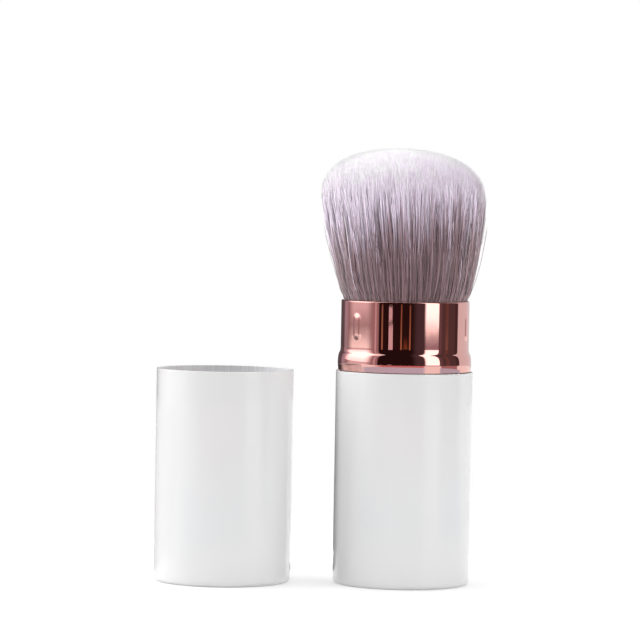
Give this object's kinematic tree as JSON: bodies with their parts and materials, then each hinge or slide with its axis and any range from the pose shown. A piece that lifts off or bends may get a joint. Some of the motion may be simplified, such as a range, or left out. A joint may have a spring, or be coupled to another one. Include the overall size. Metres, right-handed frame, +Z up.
{
  "type": "retractable makeup brush",
  "caption": "Round powder brush with a sliding polished collar that gathers its flared bristles, standing open beside its cylindrical cap.",
  "frame": {"origin": "centre of the barrel's flat base, on the brush's axis", "axes": "+Z up the brush's axis, towards the bristles; the cap stands on the -X side; -Y faces the viewer of the picture"},
  "size_m": [0.0812, 0.0412, 0.1078],
  "materials": {
    "white_lacquer": "gloss",
    "rose_gold": "polished",
    "plain_aluminium": "satin",
    "white_plastic": "satin",
    "grey_plastic": "satin",
    "steel": "satin",
    "silicone": "satin",
    "resin": "satin",
    "bristle_fibre": "satin"
  },
  "bodies": {
    "handle": {"barrel_shell": "white_lacquer", "base_weight": "steel", "barrel_liner": "white_plastic", "stop_ring": "white_plastic", "post_screw": "steel", "holder_post": "white_plastic", "ferrule": "plain_aluminium", "resin_plug": "resin", "bristles_back_right": "bristle_fibre", "bristles_back_left": "bristle_fibre", "bristles_front_left": "bristle_fibre", "bristles_front_right": "bristle_fibre"},
    "slider": {"collar": "rose_gold", "guide_sleeve": "white_plastic", "friction_ring_lower": "silicone", "friction_ring_upper": "silicone"},
    "cap": {"cap_shell": "white_lacquer", "cap_liner": "grey_plastic"}
  },
  "joints": [
    {"name": "collar_slide", "type": "slide", "parent": "handle", "child": "slider", "axis": [0, 0, 1], "range_m": [0, 0.03], "deforming": ["bristles_back_right", "bristles_back_left", "bristles_front_left", "bristles_front_right"]},
    {"name": "cap_lift", "type": "slide", "parent": "handle", "child": "cap", "axis": [0, 0, 1], "range_m": [0, 0.12]}
  ]
}
